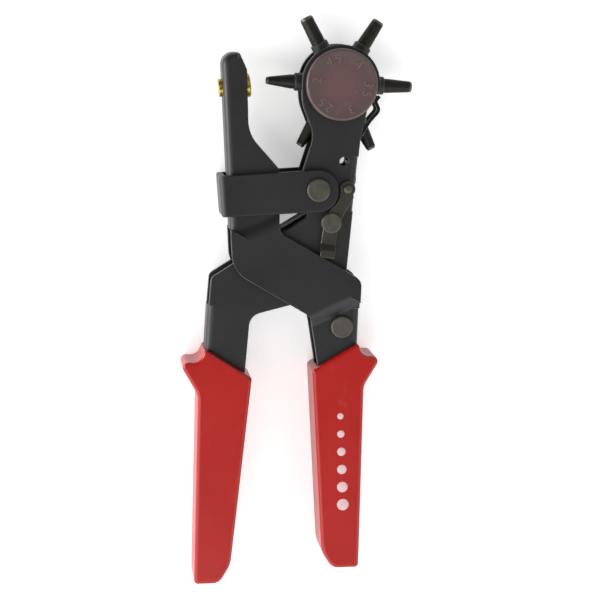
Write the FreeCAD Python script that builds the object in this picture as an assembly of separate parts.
import FreeCAD, Part
import math
import os
from FreeCAD import Vector

# Rotary hole punch with a compound lever, in millimetres. The tool lies on its back: +X to the right,
# +Y towards the jaws, +Z up, out of the front face. It is drawn about the main pivot, with z = 0 on
# the middle plane of the jaws, and moved at the end so that the origin is under the middle of its box.

# Sheet metal
SHEET = 2.5              # thickness of the lever and strap plates
CHANNEL = 5.5            # half of the space between the two plates of a lever
PLAY = 0.3               # side play between plates that pass each other
EDGE = 0.5               # rounding of sheared edges
BEND = 3.0               # outside radius of a bent spine
STRAP_BEND = 2.45        # outside radius of the strap's bends
STRAP_CORNER = 1.0       # rounding of the strap's left corners

# Levels, counted from the middle plane
LOW_TOP = CHANNEL + SHEET            # outer face of both levers
HIGH_BASE = LOW_TOP + PLAY           # inner face of what passes over the punch lever
HIGH_TOP = HIGH_BASE + SHEET         # outer face of the crossing and of the strap

# Main pivot, at the origin of the drawing
PIVOT_R = 4.0            # radius of the main rivet
PIVOT_HEAD_R = 5.1
PIVOT_HEAD = 1.6         # height of the rivet's heads
HEAD_ROUND = 0.6         # rounding of the heads of both large rivets
FIT = 0.05               # radial clearance of a shaft in a turning part
BOSS_R = 9.2             # rounding of the strap about the main rivet

# Lower rivet, which ties the anvil lever to the link
LOWER_X = 11.1
LOWER_Y = -61.7
LOWER_R = 3.0
LOWER_HEAD_R = 4.9
LOWER_HEAD = 1.8
LINK_T = 3.0             # thickness of the link inside the levers
HANDLE_REACH = 7.7       # from the lower rivet to the right handle's outer edge
LINK_GAP = 0.2           # link to the handle's bent edge
LINK_R = HANDLE_REACH - SHEET - LINK_GAP   # rounding of its lower eye, and half of its width
LINK_TOP_R = 6.2         # rounding of its upper eye
LINK_WAIST = 1.0         # each side of its bar is this much inside the lower eye
LINK_ROUND = 0.4

# Wheel
WHEEL_X = 10.2
WHEEL_Y = 46.1
DRUM_R = 16.3
DRUM_HALF = CHANNEL - PLAY   # half of the drum's width
DRUM_ROUND = 0.6
COLLAR_R = 4.0           # collars that hold the tubes
COLLAR_END = 20.0        # from the wheel's axis to the collars' faces
COLLAR_BEVEL = 0.4
TUBE_R = 3.15            # shank of each tube
TUBE_SEAT = 12.5         # from the wheel's axis to the tubes' inner ends
TUBE_TIP = 32.5          # from the wheel's axis to the cutting edges
TUBE_WALL = 0.7          # wall behind the cutting edge
TUBE_BEVEL = 0.8         # length of the bevel at the cutting edge
TUBE_NECK = 1.6          # straight shank outside the collar
TUBE_FLOOR = 2.0         # closed inner end of a tube
TUBE_TILT = 177.3        # direction of the tube that is in use, in degrees
HOLE_SIZES = [2.0, 4.5, 4.0, 3.5, 3.0, 2.5]   # in turn, clockwise from the tube in use
TUBE_STEP = 360.0 / len(HOLE_SIZES)
AXLE_R = 3.0
AXLE_HEAD_R = 5.0
AXLE_HEAD = 1.5
AXLE_ROUND = 0.5
CAP_R = 15.8
CAP_T = 3.3
CAP_GAP = 0.2            # cap to front plate, and axle head to back plate
CAP_ROUND = 0.9
HEAD_R = 17.4            # rounding of the plates about the wheel
SWEEP_GAP = 0.5          # tubes to the nearest spine
NOTCH_R = 1.3            # notches in the drum's rims, for the click spring
NOTCH_DEPTH = 0.5
NOTCH_PLAY = 0.2         # notches are this much wider than the prongs

# Anvil
ANVIL_R = CHANNEL - PLAY
ANVIL_STEM_R = 4.0
ANVIL_X = -29.3          # middle of its striking face
ANVIL_Y = 45.6
ANVIL_TURN = 5.4         # direction that the striking face looks in at rest, in degrees
ANVIL_LENGTH = 13.9
ANVIL_HEAD = 5.0
ANVIL_BEVEL = 0.4

# Click spring
LEAF_T = 1.5
LEAF_FOOT = 2.0          # from the end of the neck's spine to the leaf's lower end
LEAF_FORK = 2.5          # from the top of the neck's spine down to where the prongs start
LEAF_LAP = 0.5           # the prongs start this far down the leaf
KNEE_X = 18.3            # where a prong turns in, counted from the wheel's axis
KNEE_Y = -11.7
NOSE_GAP = 0.4           # prongs to the drum's rims
TIP_GAP = 1.2            # the same, at the very ends
TIP_TURN = 7.0           # from the nose to the very end of a prong, in degrees
PRONG_IN = COLLAR_R + 0.35   # prongs pass on both sides of the collars
PRONG_OUT = CHANNEL - PLAY
NOSE_TURN = -24.7        # direction of the prongs' ends, between two tubes
LEAF_RIVET_Y = 3.5
LEAF_RIVET_R = 1.1
LEAF_RIVET_HEAD_R = 2.0
LEAF_RIVET_HEAD = 0.8

# Opening spring
WIRE_R = 0.7
COIL_GAP = 0.1           # coils to the link and the plates, and yoke to the arm
YOKE_LEAVE = 250.0       # where the yoke leaves a coil, in degrees
YOKE_ELBOW = (-17.6, -18.6)
YOKE_Y = -17.2           # where the yoke bears on the arm
TAIL_LEAVE = 340.0       # where the tail leaves a coil, in degrees
TAIL_END = (8.6, -22.0)
COIL_R = 6.6             # to the middle of the wire
BUSH_R = 5.6
LINK_PLAY = 0.2          # each side of the link

# Latch
LATCH_X = 5.9
LATCH_Y = -14.7
LATCH_T = 1.5
LATCH_W = 6.4
LATCH_PIN_R = 2.5
LATCH_HEAD_R = 4.4
LATCH_HEAD = 1.0
LATCH_TAIL_R = 3.4       # the rivet's head inside the lever
LATCH_HEAD_ROUND = 0.4
WASHER_T = 0.5
LATCH_GAP = 0.1          # washer to latch, and latch to rivet head
LATCH_FOOT = 15.2        # from the latch's pivot to the end of its tab
LATCH_STEP = 10.4        # from the latch's pivot to where the tab bends up
LATCH_RISE_END = 12.9    # to where the tab clears the anvil lever's plate
LATCH_FOOT_TURN = -98.0  # direction of the lower arm, in degrees
LATCH_LIFT_GAP = 0.2     # tab to the crossing, beyond the side play
LATCH_TILT = 1.2         # rise of the tab towards its end
THUMB_X = 13.1
THUMB_Y = 0.2
THUMB_R = 3.4
STUD_R = 2.0
STUD_H = 1.5
STUD_ROUND = 1.3

# Hanging hole and grips
HANG_X = 11.8            # the bore passes just clear of the click spring's leaf
HANG_Y = 12.2
HANG_R = 2.1
GRIP_WALL = 3.2          # front and back walls of the grips
GRIP_HALF = LOW_TOP + GRIP_WALL   # half of the grips' thickness
GRIP_ROUND = 1.5
TANG_GAP = 0.15          # grip to plate
FAR = 200.0              # longer than the tool


def spot(x, y, turn, distance):
    """The point at a distance from (x, y), in a direction given in degrees."""
    angle = math.radians(turn)
    return (x + distance * math.cos(angle), y + distance * math.sin(angle))


def tangent_arc(before, corner, after, radius):
    """Where a rounding of a corner starts and ends, its centre and how far it turns, in radians."""
    into = (corner - before).normalize()
    out = (after - corner).normalize()
    turn = math.atan2(into.cross(out).z, into.dot(out))
    reach = radius * math.tan(abs(turn) / 2)
    start = corner - into * reach
    side = 1 if turn > 0 else -1
    centre = start + Vector(-into.y, into.x, 0) * radius * side
    return start, corner + out * reach, centre, turn


def runs(corners, closed):
    """Lines and arcs through corners (x, y, radius): (start, end, centre or None, turn)."""
    points = [Vector(x, y, 0) for x, y, radius in corners]
    count = len(corners)
    rounded = []
    for i, (x, y, radius) in enumerate(corners):
        inner = closed or 0 < i < count - 1
        if inner and radius > 0:
            arc = tangent_arc(points[i - 1], points[i], points[(i + 1) % count], radius)
            rounded.append(arc)
        else:
            rounded.append((points[i], points[i], None, 0))
    found = []
    for i, (start, end, centre, turn) in enumerate(rounded):
        if centre is not None:
            found.append((start, end, centre, turn))
        following = rounded[(i + 1) % count][0]
        if (closed or i < count - 1) and end.distanceToPoint(following) > 1e-6:
            found.append((end, following, None, 0))
    return found


def outline(corners):
    """A closed wire in the plane, with its corners rounded."""
    edges = []
    for start, end, centre, turn in runs(corners, True):
        if centre is None:
            edges.append(Part.LineSegment(start, end).toShape())
        else:
            axis = FreeCAD.Rotation(Vector(0, 0, 1), math.degrees(turn) / 2)
            middle = centre + axis.multVec(start - centre)
            edges.append(Part.Arc(start, middle, end).toShape())
    return Part.Wire(edges)


def plate(corners, base, top):
    """A flat piece between two levels."""
    return Part.Face(outline(corners)).translated(Vector(0, 0, base)).extrude(Vector(0, 0, top - base))


def rod(x, y, radius, base, top):
    """An upright cylinder."""
    return Part.makeCylinder(radius, top - base, Vector(x, y, base))


def lying_rod(start, turn, radius, length, height=0.0):
    """A cylinder that lies in the plane, from a point in a direction."""
    angle = math.radians(turn)
    direction = Vector(math.cos(angle), math.sin(angle), 0)
    return Part.makeCylinder(radius, length, Vector(start[0], start[1], height), direction)


def lying_cone(start, turn, radius, end_radius, length):
    """A cone that lies in the plane, from a point in a direction."""
    angle = math.radians(turn)
    direction = Vector(math.cos(angle), math.sin(angle), 0)
    return Part.makeCone(radius, end_radius, length, Vector(start[0], start[1], 0), direction)


def swept(corners, profile):
    """A closed profile carried along an open path. The profile's wire is drawn in (inwards, height),
    with inwards to the left of the path."""
    solids = []
    for start, end, centre, turn in runs(corners, False):
        if centre is None:
            along = (end - start).normalize()
        else:
            spoke = start - centre
            along = Vector(-spoke.y, spoke.x, 0).normalize() * (1 if turn > 0 else -1)
        inwards = Vector(-along.y, along.x, 0)
        frame = FreeCAD.Matrix(
            inwards.x, 0, along.x, start.x,
            inwards.y, 0, along.y, start.y,
            0, 1, 0, 0,
            0, 0, 0, 1)
        face = Part.Face(profile.transformGeometry(frame))
        if centre is None:
            solids.append(face.extrude(end - start))
        else:
            solids.append(face.revolve(centre, Vector(0, 0, 1 if turn > 0 else -1), math.degrees(abs(turn))))
    return merge(solids)


def wall_profile(thickness, base, top):
    """The section of a wall inside an edge."""
    corners = [(0, base), (thickness, base), (thickness, top), (0, top), (0, base)]
    return Part.makePolygon([Vector(n, z, 0) for n, z in corners])


def rounding_profile(radius, top):
    """The section of what a rounding takes away from an edge."""
    out = 1.0
    sink = radius * (1 - math.sqrt(0.5))
    arc = Part.Arc(Vector(0, top - radius, 0), Vector(sink, top - sink, 0), Vector(radius, top, 0)).toShape()
    rest = [(radius, top), (radius, top + out), (-out, top + out), (-out, top - radius), (0, top - radius)]
    return Part.Wire([arc] + Part.makePolygon([Vector(n, z, 0) for n, z in rest]).Edges)


def merge(solids):
    """One solid from several that overlap or touch."""
    first = solids[0]
    joined = first.multiFuse(solids[1:]) if len(solids) > 1 else first
    return joined.removeSplitter()


def soften(solid, radius, *levels):
    """Rounds the edges that lie flat at the given levels."""
    edges = []
    for edge in solid.Edges:
        box = edge.BoundBox
        if any(abs(box.ZMin - z) < 1e-4 and abs(box.ZMax - z) < 1e-4 for z in levels):
            edges.append(edge)
    return solid.makeFillet(radius, edges)


def back(solid):
    """The same piece behind the middle plane."""
    return solid.mirror(Vector(0, 0, 0), Vector(0, 0, 1))


def both(solid):
    """A piece and its copy behind the middle plane."""
    return Part.makeCompound([solid, back(solid)])


# Steps in the anvil lever's plates, up to the crossing and down again
UPPER_BEND = (-17.4, -15.6)      # where the sheet is fully up, below the strap
UPPER_SLOPE = 21.0
LOWER_BEND = (-3.0, -56.7)       # where it starts down again, above the lower rivet
LOWER_SLOPE = 24.0
RAMP = 4.3                       # from low to fully up
STEP_R = 3.0                     # inside radius of each bend
SPLIT = (-3.0, -38.0)            # the crossing, where both sheets are flat
SPLIT_SLOPE = -30.0


# Outlines, anticlockwise. Each corner is x, y and the radius that rounds it.

NECK_X = 18.9            # right edge of the neck, where the click spring leaves it
NECK_Y = 21.5
HEEL_X = 12.3            # lower right corner of the punch lever
HEEL_Y = -45.6
LEFT_TANG_END = -165.0   # the handles' ends, inside the grips
RIGHT_TANG_END = -162.0
LEFT_TANG_OUT = -52.2
LEFT_TANG_IN = -41.6
RIGHT_TANG_IN = 6.0
RIGHT_TANG_OUT = 16.0
SPINE_STOP = 4.0         # from a handle's end to the end of its spine
POCKET_TOP = -60.0       # above both grips
LEFT_SPINE_TOP = -51.4   # where the left handle's spine starts
ARM_SPINE_END = -17.5    # where the anvil arm's spine ends
ARM_TOP_X = -34.6        # right end of the arm's flat top
ARM_TOP_Y = 60.0
RIGHT_SPINE_TOP = -53.5  # where the right handle's spine starts
NECK_SPINE_END = -10.0

punch_outline = [
    (WHEEL_X + HEAD_R, WHEEL_Y + HEAD_R, HEAD_R),
    (WHEEL_X - HEAD_R, WHEEL_Y + HEAD_R, HEAD_R),
    (WHEEL_X - HEAD_R, 38.0, 22.0),
    (-1.7, 24.0, 14.0),
    (-BOSS_R, 0.5, 7.0),
    (-4.2, -11.9, 2.6),
    (-47.3, -38.8, 3.0),
    (-50.0, -70.0, 40.0),
    (LEFT_TANG_OUT, LEFT_TANG_END, 4.0),
    (LEFT_TANG_IN, LEFT_TANG_END, 4.0),
    (-32.2, -80.0, 60.0),
    (-30.0, -56.1, 6.2),
    (HEEL_X, HEEL_Y, 2.5),
    (NECK_X, NECK_Y, 9.0),
    (WHEEL_X + 11.4, WHEEL_Y - 12.6, 5.0),
    (WHEEL_X + 12.4, WHEEL_Y - 6.8, 2.0),
    (WHEEL_X + HEAD_R, WHEEL_Y - 3.0, 2.5),
]
left_spine = [
    (-48.8, LEFT_SPINE_TOP, 0),
    (-50.0, -70.0, 40.0),
    (LEFT_TANG_OUT, LEFT_TANG_END + SPINE_STOP, 0),
]

arm_top = (-42.3, ARM_TOP_Y, 5.4)
arm_foot = (-37.9, -35.8, 13.0)
handle_start = (18.0, -84.0, 60.0)
handle_end = (19.6, -40.4, 5.0)
anvil_outline = [
    (-31.2, 52.6, 6.0),
    (ARM_TOP_X, ARM_TOP_Y, 1.2),
    arm_top,
    arm_foot,
    (-3.0, -56.7, 6.0),
    (1.2, -84.0, 60.0),
    (RIGHT_TANG_IN, RIGHT_TANG_END, 4.0),
    (RIGHT_TANG_OUT, RIGHT_TANG_END, 4.0),
    handle_start,
    handle_end,
    (-17.4, -18.8, 5.0),
    (-15.6, 7.6, 11.0),
    (-30.6, 24.6, 16.0),
]

strap_outline = [
    (-43.8, 6.3, STRAP_CORNER),
    (-42.5, -11.8, STRAP_CORNER),
    (BOSS_R - 0.2, -9.3, 8.9),
    (BOSS_R - 0.2, 9.3, 8.9),
]


def on_line(start, end, y):
    """Where a line between two corners reaches a height."""
    share = (y - start[1]) / (end[1] - start[1])
    return start[0] + share * (end[0] - start[0])


def spined(solid, spine):
    """Adds a bent edge from the plate down to the middle plane, and rounds the bend."""
    wall = swept(spine, wall_profile(SHEET, 0.0, LOW_TOP))
    cutter = swept(spine, rounding_profile(BEND, LOW_TOP))
    return merge([solid, wall]).cut(cutter)


def punch_lever():
    """Front half of the lever that holds the wheel and runs into the left handle."""
    half = soften(plate(punch_outline, CHANNEL, LOW_TOP), EDGE, LOW_TOP)
    half = spined(half, left_spine)
    half = spined(half, neck_spine)
    half = half.cut(rod(WHEEL_X, WHEEL_Y, AXLE_R + FIT, 0, FAR))
    half = half.cut(rod(0, 0, PIVOT_R, 0, FAR))
    half = half.cut(rod(HANG_X, HANG_Y, HANG_R, 0, FAR))
    return half.cut(leaf_rivet_hole)


def bent_sheet(bend_point, slope, over_length, upper_side):
    """A sheet that steps up from a lever's level to the crossing's level across a sloping line.
    It is low on one side of the line and high on the other, and steps over a short ramp."""
    low = FAR if upper_side else -FAR
    ramp = over_length if upper_side else -over_length
    corners = [
        (low, CHANNEL, 0), (ramp, CHANNEL, STEP_R + SHEET), (0, HIGH_BASE, STEP_R), (-low, HIGH_BASE, 0),
        (-low, HIGH_TOP, 0), (0, HIGH_TOP, STEP_R + SHEET), (ramp, LOW_TOP, STEP_R), (low, LOW_TOP, 0),
    ]
    if not upper_side:
        corners = corners[::-1]
    sheet = Part.Face(outline(corners)).extrude(Vector(0, 0, 2 * FAR))
    sheet.translate(Vector(0, 0, -FAR))
    # the profile's second axis becomes the height, and its first one runs square to the bend
    sheet.rotate(Vector(0, 0, 0), Vector(1, 0, 0), 90)
    sheet.rotate(Vector(0, 0, 0), Vector(0, 0, 1), 90 + slope)
    sheet.translate(Vector(bend_point[0], bend_point[1], 0))
    return sheet


def anvil_lever():
    """Front half of the lever that holds the anvil, crosses in front, and runs into the right handle."""
    prism = plate(anvil_outline, 0.0, FAR)
    splitter = Part.makeBox(2 * FAR, FAR, FAR, Vector(-FAR, 0, 0))
    splitter.rotate(Vector(0, 0, 0), Vector(0, 0, 1), SPLIT_SLOPE)
    splitter.translate(Vector(SPLIT[0], SPLIT[1], 0))
    upper = bent_sheet(UPPER_BEND, UPPER_SLOPE, RAMP, True).common(splitter)
    lower = bent_sheet(LOWER_BEND, LOWER_SLOPE, RAMP, False).cut(splitter)
    half = merge([upper, lower]).common(prism).removeSplitter()
    half = spined(half, arm_spine)
    half = spined(half, handle_spine)
    half = half.cut(rod(LOWER_X, LOWER_Y, LOWER_R, 0, FAR))
    return half.cut(anvil_stem())


def anvil_stem():
    """The stem of the anvil, pressed into a hole of the same size."""
    start = spot(ANVIL_X, ANVIL_Y, ANVIL_TURN, -ANVIL_LENGTH)
    return lying_rod(start, ANVIL_TURN, ANVIL_STEM_R, ANVIL_LENGTH - ANVIL_HEAD)


neck_line = (punch_outline[12], punch_outline[13])
reach = TUBE_TIP + SWEEP_GAP
NECK_SPINE_TOP = WHEEL_Y - math.sqrt(reach ** 2 - (NECK_X - WHEEL_X) ** 2)
neck_spine = [
    (on_line(*neck_line, NECK_SPINE_END), NECK_SPINE_END, 0),
    (on_line(*neck_line, NECK_SPINE_TOP), NECK_SPINE_TOP, 0),
]
arm_line = (arm_top, arm_foot)
arm_spine = [
    (ARM_TOP_X - 0.4, ARM_TOP_Y, 0),
    arm_top,
    (on_line(*arm_line, ARM_SPINE_END), ARM_SPINE_END, 0),
]
handle_line = (handle_start, handle_end)
handle_spine = [
    (RIGHT_TANG_OUT, RIGHT_TANG_END + SPINE_STOP, 0),
    handle_start,
    (on_line(*handle_line, RIGHT_SPINE_TOP), RIGHT_SPINE_TOP, 0),
]
neck_turn = math.degrees(math.atan2(HEEL_X - NECK_X, NECK_Y - HEEL_Y))
leaf_rivet_outer = (on_line(*neck_line, LEAF_RIVET_Y), LEAF_RIVET_Y)
leaf_rivet_start = spot(*leaf_rivet_outer, neck_turn, -SHEET - LEAF_T - LEAF_RIVET_HEAD)
leaf_rivet_hole = lying_rod(leaf_rivet_start, neck_turn, LEAF_RIVET_R, 4 * SHEET)


def leaf_rivet():
    """Small rivet through the click spring and the neck's spine."""
    length = LEAF_T + SHEET + 2 * LEAF_RIVET_HEAD
    inner_head = lying_rod(leaf_rivet_start, neck_turn, LEAF_RIVET_HEAD_R, LEAF_RIVET_HEAD)
    shank = lying_rod(leaf_rivet_start, neck_turn, LEAF_RIVET_R, length)
    outer_head = lying_rod(leaf_rivet_outer, neck_turn, LEAF_RIVET_HEAD_R, LEAF_RIVET_HEAD)
    return merge([inner_head, shank, outer_head])


def click_spring():
    """Forked leaf on the neck's spine. Its two prongs pass beside the tubes to the drum's rims."""
    foot_y = NECK_SPINE_END + LEAF_FOOT
    fork_y = NECK_SPINE_TOP - LEAF_FORK
    foot = (*spot(on_line(*neck_line, foot_y), foot_y, neck_turn, -SHEET), 0)
    fork = (*spot(on_line(*neck_line, fork_y), fork_y, neck_turn, -SHEET), 0)
    nose = spot(WHEEL_X, WHEEL_Y, NOSE_TURN, DRUM_R + NOSE_GAP + LEAF_T)
    knee = (WHEEL_X + KNEE_X, WHEEL_Y + KNEE_Y, 3.0)
    tip = spot(WHEEL_X, WHEEL_Y, NOSE_TURN + TIP_TURN, DRUM_R + TIP_GAP + LEAF_T)
    base = swept([foot, fork], wall_profile(LEAF_T, -PRONG_OUT, PRONG_OUT))
    clear_y = NECK_SPINE_TOP + 1.0
    leave = (*spot(on_line(*neck_line, clear_y), clear_y, neck_turn, -SHEET), 2.0)
    start = (*spot(*fork[:2], neck_turn - 90, LEAF_LAP), 0)
    path = [start, leave, (WHEEL_X + 13.4, WHEEL_Y - 17.2, 12.0), knee, (*nose, 0.6), (*tip, 0)]
    prong = swept(path, wall_profile(LEAF_T, PRONG_IN, PRONG_OUT))
    return merge([base, prong, back(prong)]).cut(leaf_rivet_hole)


def drum():
    """The turning drum with a collar and a socket for each tube."""
    body = rod(WHEEL_X, WHEEL_Y, DRUM_R, -DRUM_HALF, DRUM_HALF)
    body = soften(body, DRUM_ROUND, -DRUM_HALF, DRUM_HALF)
    collars = []
    sockets = []
    notches = []
    for i in range(len(HOLE_SIZES)):
        turn = TUBE_TILT - i * TUBE_STEP
        centre = (WHEEL_X, WHEEL_Y)
        collar = lying_rod(centre, turn, COLLAR_R, COLLAR_END)
        rims = [edge for edge in collar.Edges if len(edge.Vertexes) == 1]
        outer = max(rims, key=lambda rim: rim.BoundBox.Center.distanceToPoint(Vector(*centre, 0)))
        collars.append(collar.makeChamfer(COLLAR_BEVEL, [outer]))
        sockets.append(lying_rod(spot(*centre, turn, TUBE_SEAT), turn, TUBE_R, COLLAR_END))
        notch = spot(*centre, NOSE_TURN + i * TUBE_STEP, DRUM_R + NOTCH_R - NOTCH_DEPTH)
        inner = PRONG_IN - NOTCH_PLAY
        notches.append(rod(*notch, NOTCH_R, inner, DRUM_HALF))
        notches.append(rod(*notch, NOTCH_R, -DRUM_HALF, -inner))
    body = merge([body] + collars)
    for tool in sockets + notches:
        body = body.cut(tool)
    return body.cut(rod(WHEEL_X, WHEEL_Y, AXLE_R, -FAR, FAR))


def punch_tube(i, size):
    """A hollow tube with a bevelled cutting edge."""
    turn = TUBE_TILT - i * TUBE_STEP
    centre = (WHEEL_X, WHEEL_Y)
    tip_r = size / 2 + TUBE_WALL
    bevel_start = TUBE_TIP - TUBE_BEVEL
    shank_end = COLLAR_END + TUBE_NECK
    edge_r = size / 2 + TUBE_WALL / 2
    shank = lying_rod(spot(*centre, turn, TUBE_SEAT), turn, TUBE_R, shank_end - TUBE_SEAT)
    body = lying_cone(spot(*centre, turn, shank_end), turn, TUBE_R, tip_r, bevel_start - shank_end)
    nose = lying_cone(spot(*centre, turn, bevel_start), turn, tip_r, edge_r, TUBE_BEVEL)
    bore = lying_rod(spot(*centre, turn, TUBE_SEAT + TUBE_FLOOR), turn, size / 2, FAR)
    return merge([shank, body, nose]).cut(bore)


def number_cap():
    """The numbered disc on the front end of the axle."""
    base = LOW_TOP + CAP_GAP
    disc = soften(rod(WHEEL_X, WHEEL_Y, CAP_R, base, base + CAP_T), CAP_ROUND, base + CAP_T)
    return disc.cut(wheel_axle_shaft())


def wheel_axle_shaft():
    """The part of the axle between its back head and the cap."""
    return rod(WHEEL_X, WHEEL_Y, AXLE_R, -LOW_TOP - CAP_GAP, LOW_TOP + CAP_GAP + CAP_T / 2)


def wheel_axle():
    """The axle turns with the drum and the cap."""
    base = -LOW_TOP - CAP_GAP
    head = soften(rod(WHEEL_X, WHEEL_Y, AXLE_HEAD_R, base - AXLE_HEAD, base), AXLE_ROUND, base - AXLE_HEAD)
    return merge([head, wheel_axle_shaft()])


def anvil():
    """Brass anvil: a stem through the arm's spine and a wider striking head."""
    start = spot(ANVIL_X, ANVIL_Y, ANVIL_TURN, -ANVIL_HEAD)
    head = lying_rod(start, ANVIL_TURN, ANVIL_R, ANVIL_HEAD)
    rim = [e for e in head.Edges if len(e.Vertexes) == 1]
    return merge([head.makeChamfer(ANVIL_BEVEL, rim), anvil_stem()])


def strap():
    """Bent strap round the anvil arm, turning on the main rivet."""
    body = soften(plate(strap_outline, -HIGH_TOP, HIGH_TOP), EDGE, -HIGH_TOP, HIGH_TOP)
    left = [strap_outline[0], strap_outline[1]]
    slot = [
        (left[0][0] + SHEET, left[0][1] + SHEET, 0),
        (left[1][0] + SHEET, left[1][1] - SHEET, 0),
        (FAR, left[1][1] - SHEET, 0),
        (FAR, left[0][1] + SHEET + BOSS_R, 0),
        (left[0][0] + SHEET, left[0][1] + SHEET + BOSS_R, 0),
    ]
    body = body.cut(plate(slot, -HIGH_BASE, HIGH_BASE))
    bend = [
        (left[0][0], left[0][1] + STRAP_CORNER, 0),
        (left[1][0], left[1][1] - STRAP_CORNER, 0),
    ]
    cutter = swept(bend, rounding_profile(STRAP_BEND, HIGH_TOP))
    body = body.cut(cutter).cut(back(cutter))
    return body.cut(rod(0, 0, PIVOT_R + FIT, -FAR, FAR))


def tie_link():
    """Flat link inside the levers, from the main rivet to the lower rivet."""
    length = math.hypot(LOWER_X, LOWER_Y)
    half_width = LINK_R - LINK_WAIST
    bar = Part.makeBox(length, 2 * half_width, LINK_T, Vector(0, -half_width, -LINK_T / 2))
    bar.rotate(Vector(0, 0, 0), Vector(0, 0, 1), math.degrees(math.atan2(LOWER_Y, LOWER_X)))
    upper_eye = rod(0, 0, LINK_TOP_R, -LINK_T / 2, LINK_T / 2)
    lower_eye = rod(LOWER_X, LOWER_Y, LINK_R, -LINK_T / 2, LINK_T / 2)
    link = soften(merge([bar, upper_eye, lower_eye]), LINK_ROUND, -LINK_T / 2, LINK_T / 2)
    return link.cut(rod(0, 0, PIVOT_R + FIT, -FAR, FAR)).cut(rod(LOWER_X, LOWER_Y, LOWER_R, -FAR, FAR))


def rivet(x, y, radius, head_radius, seat, head):
    """A rivet with a flat round head at each end."""
    body = merge([
        rod(x, y, radius, -seat - head / 2, seat + head / 2),
        rod(x, y, head_radius, seat, seat + head),
        rod(x, y, head_radius, -seat - head, -seat),
    ])
    return soften(body, HEAD_ROUND, -seat - head, seat + head)


def pivot_spacers():
    """Two bushes on the main rivet, one each side of the link. The spring's coils sit on them."""
    base = LINK_T / 2 + LINK_PLAY
    ring = rod(0, 0, BUSH_R, base, CHANNEL).cut(rod(0, 0, PIVOT_R, base, CHANNEL))
    return both(ring)


def opening_spring():
    """Double torsion spring: a coil on each bush, a yoke that bears on the anvil arm's spine, and a
    tail from each coil that bears on the heel of the punch lever."""
    base = LINK_T / 2 + LINK_PLAY + COIL_GAP
    coil_top = CHANNEL - COIL_GAP
    coil = rod(0, 0, COIL_R + WIRE_R, base, coil_top).cut(rod(0, 0, COIL_R - WIRE_R, base, coil_top))
    level = base + 2 * WIRE_R
    leave = spot(0, 0, YOKE_LEAVE, COIL_R)
    end = (on_line(*arm_line, YOKE_Y) + SHEET + WIRE_R + COIL_GAP, YOKE_Y)
    yoke = [wire_between(leave, YOKE_ELBOW, level), wire_between(YOKE_ELBOW, end, level)]
    knuckle = Part.makeSphere(WIRE_R, Vector(*YOKE_ELBOW, level))
    tail = wire_between(spot(0, 0, TAIL_LEAVE, COIL_R), TAIL_END, level)
    half = merge([coil, tail, knuckle] + yoke)
    cross = Part.makeCylinder(WIRE_R, 2 * level, Vector(*end, -level), Vector(0, 0, 1))
    return merge([half, back(half), cross])


def wire_between(start, end, level):
    """A straight run of spring wire."""
    begin = Vector(start[0], start[1], level)
    finish = Vector(end[0], end[1], level)
    return Part.makeCylinder(WIRE_R, begin.distanceToPoint(finish), begin, finish - begin)


latch_base = LOW_TOP + WASHER_T + LATCH_GAP


def latch():
    """Rocker on the punch lever's front plate: a thumb end, and a foot that bends up over the crossing."""
    foot = spot(LATCH_X, LATCH_Y, LATCH_FOOT_TURN, LATCH_FOOT)
    thumb_turn = math.degrees(math.atan2(THUMB_Y - LATCH_Y, THUMB_X - LATCH_X))
    half = LATCH_W / 2
    side = spot(0, 0, LATCH_FOOT_TURN + 90, half)
    thumb_side = spot(0, 0, thumb_turn - 90, half)
    corners = [
        (foot[0] + side[0], foot[1] + side[1], 1.0),
        (LATCH_X + half, LATCH_Y - 0.6, 3.0),
        (THUMB_X + thumb_side[0], THUMB_Y + thumb_side[1] - 2.0, 1.0),
        (THUMB_X, THUMB_Y, 0),
        (THUMB_X - thumb_side[0], THUMB_Y - thumb_side[1] - 2.0, 1.0),
        (LATCH_X - half, LATCH_Y + 0.6, 3.0),
        (foot[0] - side[0], foot[1] - side[1], 1.0),
    ]
    prism = plate(corners, 0, FAR)
    rounds = [rod(THUMB_X, THUMB_Y, THUMB_R, 0, FAR), rod(LATCH_X, LATCH_Y, LATCH_HEAD_R, 0, FAR)]
    prism = merge([prism] + rounds)
    top = latch_base + LATCH_T
    lift = HIGH_TOP + PLAY + LATCH_LIFT_GAP - latch_base
    profile = [
        (-FAR, latch_base, 0), (LATCH_STEP, latch_base, 1.0), (LATCH_RISE_END, latch_base + lift, 0.5),
        (LATCH_FOOT + 1, latch_base + lift + LATCH_TILT, 0), (LATCH_FOOT + 1, top + lift + LATCH_TILT, 0),
        (LATCH_RISE_END - 0.6, top + lift, 1.5), (LATCH_STEP - 0.8, top, 0.5), (-FAR, top, 0),
    ]
    sheet = Part.Face(outline(profile)).extrude(Vector(0, 0, 2 * FAR))
    sheet.translate(Vector(0, 0, -FAR))
    sheet.rotate(Vector(0, 0, 0), Vector(1, 0, 0), 90)
    sheet.rotate(Vector(0, 0, 0), Vector(0, 0, 1), LATCH_FOOT_TURN)
    sheet.translate(Vector(LATCH_X, LATCH_Y, 0))
    body = sheet.common(prism).removeSplitter()
    body = body.cut(rod(0, 0, BOSS_R + 3 * PLAY, 0, FAR))
    return body.cut(rod(LATCH_X, LATCH_Y, LATCH_PIN_R + FIT, 0, FAR))


def latch_stud():
    """Domed stud that the thumb pushes."""
    top = latch_base + LATCH_T
    stud = rod(THUMB_X, THUMB_Y, STUD_R, top, top + STUD_H)
    return soften(stud, STUD_ROUND, top + STUD_H)


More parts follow.
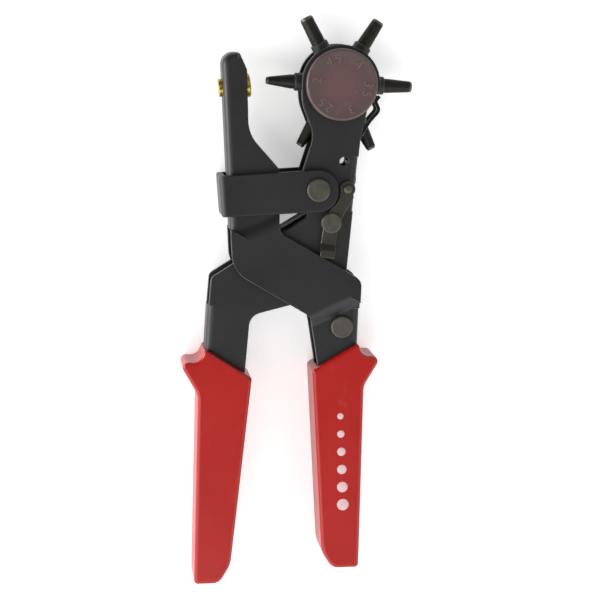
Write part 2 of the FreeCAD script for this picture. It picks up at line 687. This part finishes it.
def latch_rivet():
    """Shoulder rivet through the front plate, the washer and the latch."""
    seat = latch_base + LATCH_T + LATCH_GAP
    body = merge([
        rod(LATCH_X, LATCH_Y, LATCH_PIN_R, CHANNEL - LATCH_HEAD / 2, seat + LATCH_HEAD / 2),
        rod(LATCH_X, LATCH_Y, LATCH_HEAD_R, seat, seat + LATCH_HEAD),
        rod(LATCH_X, LATCH_Y, LATCH_TAIL_R, CHANNEL - LATCH_HEAD, CHANNEL),
    ])
    return soften(body, LATCH_HEAD_ROUND, seat + LATCH_HEAD)


def latch_washer():
    """Washer between the plate and the latch."""
    ring = rod(LATCH_X, LATCH_Y, LATCH_HEAD_R, LOW_TOP, LOW_TOP + WASHER_T)
    return ring.cut(rod(LATCH_X, LATCH_Y, LATCH_PIN_R, 0, FAR))


def grip(corners, tang):
    """A moulded grip pushed over a handle's plates. Its pocket follows the lever's outline."""
    body = soften(plate(corners, -GRIP_HALF, GRIP_HALF), GRIP_ROUND, -GRIP_HALF, GRIP_HALF)
    pocket = plate(tang, -LOW_TOP - TANG_GAP, LOW_TOP + TANG_GAP)
    return body.cut(pocket)


left_grip_outline = [
    (-50.2, -70.4, 1.0), (-52.8, -76.6, 4.5), (-62.3, -75.8, 2.6), (-53.6, -91.0, 9.0), (-55.8, -178.5, 1.8),
    (-44.4, -178.5, 5.0), (-39.2, -170.0, 12.0), (-29.4, -83.9, 1.6),
]
right_grip_outline = [
    (-2.3, -81.0, 1.6), (2.2, -165.2, 12.0), (7.2, -172.9, 5.0), (19.3, -172.9, 1.8), (21.0, -88.6, 9.0),
    (29.6, -74.4, 2.6), (20.6, -75.2, 4.5), (18.5, -69.2, 1.0),
]
left_pocket = [
    (-50.0 - TANG_GAP, POCKET_TOP, 0),
    (-50.0 - TANG_GAP, -70.0, 0),
    (LEFT_TANG_OUT - TANG_GAP, LEFT_TANG_END - TANG_GAP, 0),
    (LEFT_TANG_IN + TANG_GAP, LEFT_TANG_END - TANG_GAP, 0),
    (-32.2 + TANG_GAP, -80.0, 0),
    (-31.2 + TANG_GAP, POCKET_TOP, 0),
]
right_pocket = [
    (-2.2 - TANG_GAP, POCKET_TOP, 0),
    (1.2 - TANG_GAP, -84.0, 0),
    (RIGHT_TANG_IN - TANG_GAP, RIGHT_TANG_END - TANG_GAP, 0),
    (RIGHT_TANG_OUT + TANG_GAP, RIGHT_TANG_END - TANG_GAP, 0),
    (18.0 + TANG_GAP, -84.0, 0),
    (18.9 + TANG_GAP, POCKET_TOP, 0),
]


def pieces():
    """Every piece of the tool, by its name."""
    punch_front = punch_lever().cut(rod(LATCH_X, LATCH_Y, LATCH_PIN_R, 0, FAR))
    anvil_front = anvil_lever()
    found = {
        "punch_lever_front": punch_front,
        "punch_lever_back": back(punch_lever()),
        "left_grip": grip(left_grip_outline, left_pocket),
        "pivot_rivet": rivet(0, 0, PIVOT_R, PIVOT_HEAD_R, HIGH_TOP + 2 * FIT, PIVOT_HEAD),
        "pivot_spacers": pivot_spacers(),
        "opening_spring": opening_spring(),
        "click_spring": click_spring(),
        "click_spring_rivet": leaf_rivet(),
        "latch_rivet": latch_rivet(),
        "latch_washer": latch_washer(),
        "latch": latch(),
        "latch_stud": latch_stud(),
        "anvil_lever_front": anvil_front,
        "anvil_lever_back": back(anvil_front),
        "right_grip": grip(right_grip_outline, right_pocket),
        "anvil": anvil(),
        "strap": strap(),
        "tie_link": tie_link(),
        "lower_rivet": rivet(LOWER_X, LOWER_Y, LOWER_R, LOWER_HEAD_R, LOW_TOP, LOWER_HEAD),
        "wheel_axle": wheel_axle(),
        "drum": drum(),
        "number_cap": number_cap(),
    }
    for i, size in enumerate(HOLE_SIZES):
        found["punch_tube_" + str(size).replace(".", "_")] = punch_tube(i, size)
    return found


tool = pieces()
whole = Part.makeCompound(list(tool.values())).BoundBox
origin = Vector(-whole.Center.x, -whole.Center.y, -whole.ZMin)
os.makedirs("parts", exist_ok=True)
for name, shape in tool.items():
    shape.translated(origin).exportStep("parts/" + name + ".step")
    print(name, len(shape.Solids), round(shape.Volume, 1), shape.isValid())
print("drawing origin", [round(v, 4) for v in origin])
